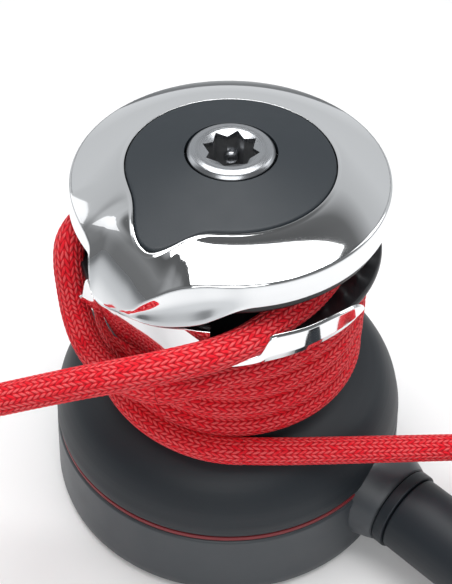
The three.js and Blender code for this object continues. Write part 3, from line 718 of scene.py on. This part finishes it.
# The claw carries on below the arm, close outside the jaws, and guides the rope up from the drum.
angle = np.arange(-151, -95.9, 0.5)
claw_low = followed(angle, [
    (-151, 141), (-150, 136), (-147.5, 132), (-143, 131), (-138, 132), (-127, 135), (-118, 140),
    (-110, 147), (-104, 154), (-99, 161), (-96, 165),
])
claw_high = np.minimum(followed(angle, RIM_HEIGHT) - 1.2, 168 - 18 * (1 - eased(-150, -143, angle)))
claw_high = np.maximum(claw_high, claw_low + 2)
claw_foot = np.maximum(65.4, np.interp(claw_low, [134, 147, 165], [65.4, 70.3, 74]))
claw = bar_round("stripper_claw", angle, [
    (claw_foot - 0.8, claw_low + 0.5, 0.2), (claw_foot, claw_low, 0.3), (74.2, claw_high, 0.4),
    (69.5, claw_high, 0.3), (np.maximum(69.4, claw_foot - 0.8), np.maximum(147.5, claw_low + 1), 0.2),
], CHROME)

# The blade runs on to the right under the tail of the rope. It stands up in a hook that holds the
# rope to its left, and its right end tapers off.
angle = np.arange(-106, -38.4, 0.4)
blade_high = followed(angle, [
    (-106, 149), (-93, 150), (-88, 152.6), (-84, 155), (-80.6, 157), (-79.3, 160), (-78, 164),
    (-76.5, 165.8), (-73, 166), (-65, 165.2), (-55, 164.6), (-46, 162.4), (-41.5, 159), (-38.5, 155.2),
])
blade_low = followed(angle, [
    (-106, 147), (-93, 148.2), (-84, 149.8), (-76, 151.3), (-62, 151.6), (-50, 151.8), (-42, 152.6),
    (-38.5, 154),
])
blade_radius = followed(angle, [
    (-106, 74), (-93, 75), (-84, 76), (-76, 76), (-66, 75.4), (-55, 74.5), (-45, 74), (-38.5, 73.4),
])
blade_face = blade_low + 0.25 * (blade_high - blade_low)
blade = bar_round("stripper_blade", angle, [
    (70, blade_low + 0.3, 0.3), (blade_radius - 0.8, blade_low, 0.3), (blade_radius, blade_face, 0.2),
    (blade_radius - 0.1, blade_high - 0.9, 0.3), (blade_radius - 1.3, blade_high, 0.3),
    (blade_radius - 1.5, np.minimum(blade_high - 0.5, 155.2), 0.15),
    (70, np.minimum(blade_high - 0.7, 153.8), 0.2),
], CHROME)
cap.data.materials.append(CHROME)
for piece in (cap, claw, blade):
    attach(piece, "root")
    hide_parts("stripper")

# ---- cover -------------------------------------------------------------------------------------------
# A moulded plate that hides the stripper's screws. Its outline is a circle with one pointed lobe
# that shows which way the arm faces, and it stands a little proud of the chrome round it.

angle = np.unique(np.round(np.concatenate([np.arange(-180, 180, 2), np.arange(-150, -95, 0.5)]), 3))
edge = cover_edge(angle) - 0.1
COVER_HOLE = 19.9  # radius of the hole that the collar stands in
COVER_CROWN = 0.15  # how far the plate stands over a plain cone


def cover_top(radius):
    """Height of a plain cone, 201.4 at radius 19.6 and falling by 0.225 of the way outwards."""
    return 201.4 - 0.225 * (radius - 19.6)


middle = 0.5 * (COVER_HOLE + edge)
cover_outline = rounded(corners_at(
    angle, (COVER_HOLE, 198.6, 0.2), (COVER_HOLE, cover_top(COVER_HOLE), 0.4),
    (middle, cover_top(middle) + COVER_CROWN, 3), (edge, cover_top(edge) + COVER_CROWN, 1.3),
    (edge, cap_top(edge) - 1.9, 0.3), (30, 193.5, 0.3),
))
COVER_PLASTIC = moulded_plastic("cover_plastic", (0.012, 0.018, 0.024), 0.52, 1500, 0.00005)
cover = sheet_of("pointed_cover", swept(angle, cover_outline), wrap_rows=True, wrap_columns=True)
fitted(cover, COVER_PLASTIC, "cover_plastic", "root", "top_cover")

# ---- handle socket -----------------------------------------------------------------------------------
# The spindle ends in a turned stainless collar with a cone that leads a winch handle in. The broached
# socket below is an eight-point star, two squares at 45 degrees, crossed by a locking pin.

SQUARE = 17.5
STAR_TURN = 32.4


def star_radius(angle):
    """Radius of two squares laid over each other at 45 degrees: the larger of the two at each angle."""
    reach = [
        SQUARE / 2 / np.maximum(np.abs(np.cos(turn)), np.abs(np.sin(turn)))
        for turn in (np.radians(angle - STAR_TURN), np.radians(angle - STAR_TURN - 45))
    ]
    return np.maximum(*reach)


def turned_steel():
    """Stainless steel as it leaves the lathe: fine rings round the axis and a soft bright sheen."""
    material, nodes, links, shader = finish_named("turned_steel", (0.44, 0.455, 0.475), 0.26, 1.0)
    place = nodes.new("ShaderNodeTexCoord").outputs["Object"]
    split = nodes.new("ShaderNodeSeparateXYZ")
    links.new(place, split.inputs[0])
    flat = nodes.new("ShaderNodeCombineXYZ")
    links.new(split.outputs["X"], flat.inputs["X"])
    links.new(split.outputs["Y"], flat.inputs["Y"])
    far = nodes.new("ShaderNodeVectorMath")
    far.operation = "LENGTH"
    links.new(flat.outputs[0], far.inputs[0])
    rings = noise_at(nodes, links, far.outputs["Value"], 2600, 2.0)
    gloss = nodes.new("ShaderNodeMapRange")
    links.new(rings, gloss.inputs["Value"])
    gloss.inputs["To Min"].default_value, gloss.inputs["To Max"].default_value = 0.2, 0.34
    links.new(gloss.outputs["Result"], shader.inputs["Roughness"])
    bumped(nodes, links, shader, rings, 0.00004, 0.6)
    return material


TURNED_STEEL = turned_steel()
corner_angles = STAR_TURN + 22.5 * np.arange(16)
angle = np.sort(np.concatenate([corner_angles + k * 22.5 / 12 for k in range(12)]))
star = star_radius(angle)
CONE = 0.42  # fall of the lead-in cone for each millimetre inwards
collar_outline = rounded(corners_at(
    angle, (19, 199.7, 0.2), (19, 201, 0.5), (17.6, 202.8, 0.8), (15, 203.6, 0.8), (12.9, 203.3, 0.35),
    (star, 203.3 - CONE * (12.95 - star), 0.15), (star, 200.2, 0.1), (15.8, 199.7, 0.2),
))
collar = sheet_of("socket_collar_ring", swept(angle, collar_outline), wrap_rows=True, wrap_columns=True)
fitted(collar, TURNED_STEEL, "satin_steel", "spindle", "socket_collar")


def oiled_steel_in_shade():
    """Broached steel down in the socket: a grey darker than the collar's steel as painted shade in the
    socket, mottled by a film of grease.
    """
    material, nodes, links, shader = finish_named("oiled_steel_in_shade", (0.16, 0.165, 0.17), 0.3, 0.9)
    place = nodes.new("ShaderNodeTexCoord").outputs["Object"]
    tone = noise_at(nodes, links, place, 300)
    # Painted shade: both greys are darker than the collar's steel because the socket lies deep in shade; the
    # mottle between them is grease.
    shaded_greasy_grey = blend_colours(nodes, links, tone, (0.26, 0.265, 0.275), (0.46, 0.465, 0.475))
    links.new(shaded_greasy_grey, shader.inputs["Base Color"])
    bumped(nodes, links, shader, tone, 0.00006, 0.5)
    return material


OILED_STEEL_IN_SHADE = oiled_steel_in_shade()
well_rows = np.stack([
    np.stack([np.full_like(star, r) if r else star, np.full_like(star, z)], axis=-1)
    for r, z in (  # a radius of 0 stands for the star's own radius
        (3, 177), (0, 177), (0, 188), (0, 200.0), (15.6, 199.5), (15.6, 176), (8, 172), (8, 6), (3, 6),
    )
], axis=0)
well_turn = np.radians(angle)
well = np.stack([
    well_rows[..., 0] * np.cos(well_turn), well_rows[..., 0] * np.sin(well_turn), well_rows[..., 1],
], axis=2) * MM
spindle = sheet_of("socketed_spindle", well, wrap_columns=True, ends=True)
fitted(spindle, OILED_STEEL_IN_SHADE, "steel", "spindle", "main_spindle")

# The locking pin's polished end shows in the far wall of the socket.
PIN_RADIUS, PIN_HEIGHT = 3.1, 191.6


def along_y(grid):
    """Lays a piece turned about Z along -Y, at the locking pin's height."""
    x, y, z = grid[..., 0], grid[..., 1], grid[..., 2]
    return np.stack([x, -z, y + PIN_HEIGHT * MM], axis=-1)


pin = turned_solid("locking_pin", [
    (0.8, -13, 0), (PIN_RADIUS, -13, 0.2), (PIN_RADIUS, -7.4, 0.7), (0.8, -6.2, 0),
], along_y)
pin.data.materials.append(TURNED_STEEL)
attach(pin, "spindle")

# ---- gearmotor ---------------------------------------------------------------------------------------
# A slim tube motor stands out from the base at the front right. A painted housing carries it, a
# collar clamps it, and its far end is a moulded cap held by three screws.

MOTOR_ANGLE, MOTOR_OFFSET, MOTOR_HEIGHT = radians(-45), 20, 27
motor_axis = np.array([cos(MOTOR_ANGLE), sin(MOTOR_ANGLE), 0.0])
motor_side = np.array([-sin(MOTOR_ANGLE), cos(MOTOR_ANGLE), 0.0])
motor_start = (motor_side * MOTOR_OFFSET + np.array([0, 0, MOTOR_HEIGHT])) * MM


def on_motor_axis(grid):
    """Lays a piece turned about Z along the motor's axis, its height becoming the distance along it."""
    x, y, z = (grid[..., k, None] for k in range(3))
    return motor_start + z * motor_axis + y * motor_side + x * np.array([0, 0, -1.0])


housing = turned_ring("drive_cone", [
    (12, 81, 0.3), (25.5, 81, 0.3), (25.5, 85, 2), (21.4, 97, 1.5), (20.3, 98.9, 0.5), (12, 98.9, 0.3),
], on_motor_axis)
fitted(housing, BASE_PAINT, "base_grey", "root", "drive_housing")
collar = turned_ring("clamp_collar", [
    (9, 99.4, 0.3), (20.4, 99.4, 0.5), (20.4, 104.8, 0.5), (9, 104.8, 0.3),
], on_motor_axis)
fitted(collar, ANODISED, "anodised", "root", "motor_collar")
tube = turned_ring("motor_tube", [
    (9, 105.4, 0.3), (19.3, 105.4, 0.8), (19.3, 177.8, 0.4), (17, 177.8, 0.3), (17, 112, 0.5),
    (9, 110.5, 0.3),
], on_motor_axis)
fitted(tube, ANODISED, "anodised", "root", "motor_body")
end_cap = turned_solid("motor_cap", [
    (4, 178.4, 0), (19.3, 178.4, 0.3), (19.3, 183.4, 1.5), (16.4, 186, 1.5), (4, 186, 0),
], on_motor_axis)
fitted(end_cap, JAW_PLASTIC, "black_nylon", "root", "motor_end_cap")

# ---- gears, bearings and screws ----------------------------------------------------------------------
# Everything inside turns out of sight: stainless gears on fixed pins, bronze ring gear and bushes,
# acetal roller cages. They keep the shapes of the frame and take the finish of their metal.


def machined(name, colour, roughness):
    """Machined metal: bright, with small changes of tone and gloss from tool and grease."""
    material, nodes, links, shader = finish_named(name, colour, roughness, 1.0)
    place = nodes.new("ShaderNodeTexCoord").outputs["Object"]
    tone = noise_at(nodes, links, place, 160)
    darker = tuple(0.75 * part for part in colour)
    links.new(blend_colours(nodes, links, tone, darker, colour), shader.inputs["Base Color"])
    bumped(nodes, links, shader, noise_at(nodes, links, place, 900, 2.0), 0.00003, 0.5)
    return material


MACHINED_STEEL = machined("machined_steel", (0.55, 0.56, 0.58), 0.34)
BEARING_BRONZE = machined("bearing_bronze", (0.60, 0.40, 0.18), 0.38)
ACETAL = moulded_plastic("acetal", (0.78, 0.77, 0.72), 0.4, 700, 0.00003)
INNER_FINISH = {"steel": MACHINED_STEEL, "bronze": BEARING_BRONZE, "acetal": ACETAL, "anodised": ANODISED}
replaced_slots = {"chrome", "rope", "cover_plastic", "satin_steel", "red_ring", "black_nylon", "base_grey"}
for part in frame["record"]["subparts"]:
    if part["material_slot"] not in replaced_slots:
        materials = frame["nodes"][part["node"]].data.materials
        materials.clear()
        materials.append(INNER_FINISH[part["material_slot"]])

# ---- floor and studio --------------------------------------------------------------------------------
# A pale floor, painted darker grey further from the winch as painted shade for the light falling off, and
# soft light from wide panels all round.

bpy.ops.mesh.primitive_plane_add(size=60, location=(0, 0, -0.0002))
floor = bpy.context.object
floor.name = "floor"
floor_paint, floor_nodes, floor_links, floor_shader = finish_named("pale_floor", (0.93, 0.93, 0.93), 0.9)
floor_place = floor_nodes.new("ShaderNodeTexCoord")
from_middle = floor_nodes.new("ShaderNodeVectorMath")
from_middle.operation = "DISTANCE"
from_middle.inputs[1].default_value = (0, 0.1, 0)
floor_links.new(floor_place.outputs["Object"], from_middle.inputs[0])
# Painted shade: the floor goes from near white by the winch to mid grey far off, standing in for the light
# falling off.
painted_falloff = ramp_between(floor_nodes, floor_links, from_middle.outputs["Value"], 0.30, 0.70)
floor_links.new(
    blend_colours(floor_nodes, floor_links, painted_falloff, (0.93, 0.93, 0.93), (0.58, 0.59, 0.60)),
    floor_shader.inputs["Base Color"],
)
floor.data.materials.append(floor_paint)


def soft_panel(name, place, aim, width, height, watts, colour=(1.0, 1.0, 1.0)):
    """A rectangular area light at a place, facing a point."""
    data = bpy.data.lights.new(name, "AREA")
    data.shape = "RECTANGLE"
    data.size, data.size_y = width, height
    data.energy = watts
    data.color = colour
    panel = bpy.data.objects.new(name, data)
    bpy.context.collection.objects.link(panel)
    panel.location = place
    away = panel.location - Vector(aim)
    panel.rotation_euler = away.to_track_quat("Z", "Y").to_euler()
    return panel


soft_panel("overhead", (0.02, 0.12, 1.35), (0.0, 0, 0.1), 1.3, 0.8, 17)
soft_panel("front_panel", (-0.06, -1.25, 0.95), (0, 0, 0.14), 1.25, 0.8, 9)
soft_panel("left_panel", (-1.3, 0.5, 0.7), (0, 0, 0.12), 0.7, 0.9, 1.2)
soft_panel("right_panel", (1.3, 0.4, 0.9), (0, 0, 0.12), 0.6, 0.8, 2.5)

world = bpy.data.worlds.new("studio")
bpy.context.scene.world = world
world.use_nodes = True
tree = world.node_tree
direction = tree.nodes.new("ShaderNodeTexCoord")
split = tree.nodes.new("ShaderNodeSeparateXYZ")
tree.links.new(direction.outputs["Generated"], split.inputs[0])


def grey_ramp(stops):
    """Grey against height above the horizon, as the sine of the elevation."""
    node = tree.nodes.new("ShaderNodeValToRGB")
    ramp = node.color_ramp
    for (height, grey), stop in zip(stops, [ramp.elements[0], ramp.elements[1]] + [None] * (len(stops) - 2)):
        stop = stop or ramp.elements.new(height)
        stop.position, stop.color = height, (grey, grey * 1.02, grey * 1.04, 1)
    tree.links.new(split.outputs["Z"], node.inputs["Fac"])
    return node.outputs["Color"]


# Behind and in front of the winch: grey low down, with a dark band high up.
behind = grey_ramp([
    (0.0, 0.70), (1.0, 0.5), (0.22, 0.60), (0.5, 0.62), (0.66, 0.52), (0.76, 0.14), (0.86, 0.10),
])
before = grey_ramp([(0.0, 0.16), (1.0, 0.5), (0.25, 0.17), (0.5, 0.22), (0.76, 0.12), (0.86, 0.10)])
forward = ramp_between(tree.nodes, tree.links, split.outputs["Y"], -0.15, 0.4)
sky = blend_colours(tree.nodes, tree.links, forward, before, behind)
tree.links.new(sky, tree.nodes["Background"].inputs["Color"])
bpy.context.scene.view_settings.view_transform = "Standard"
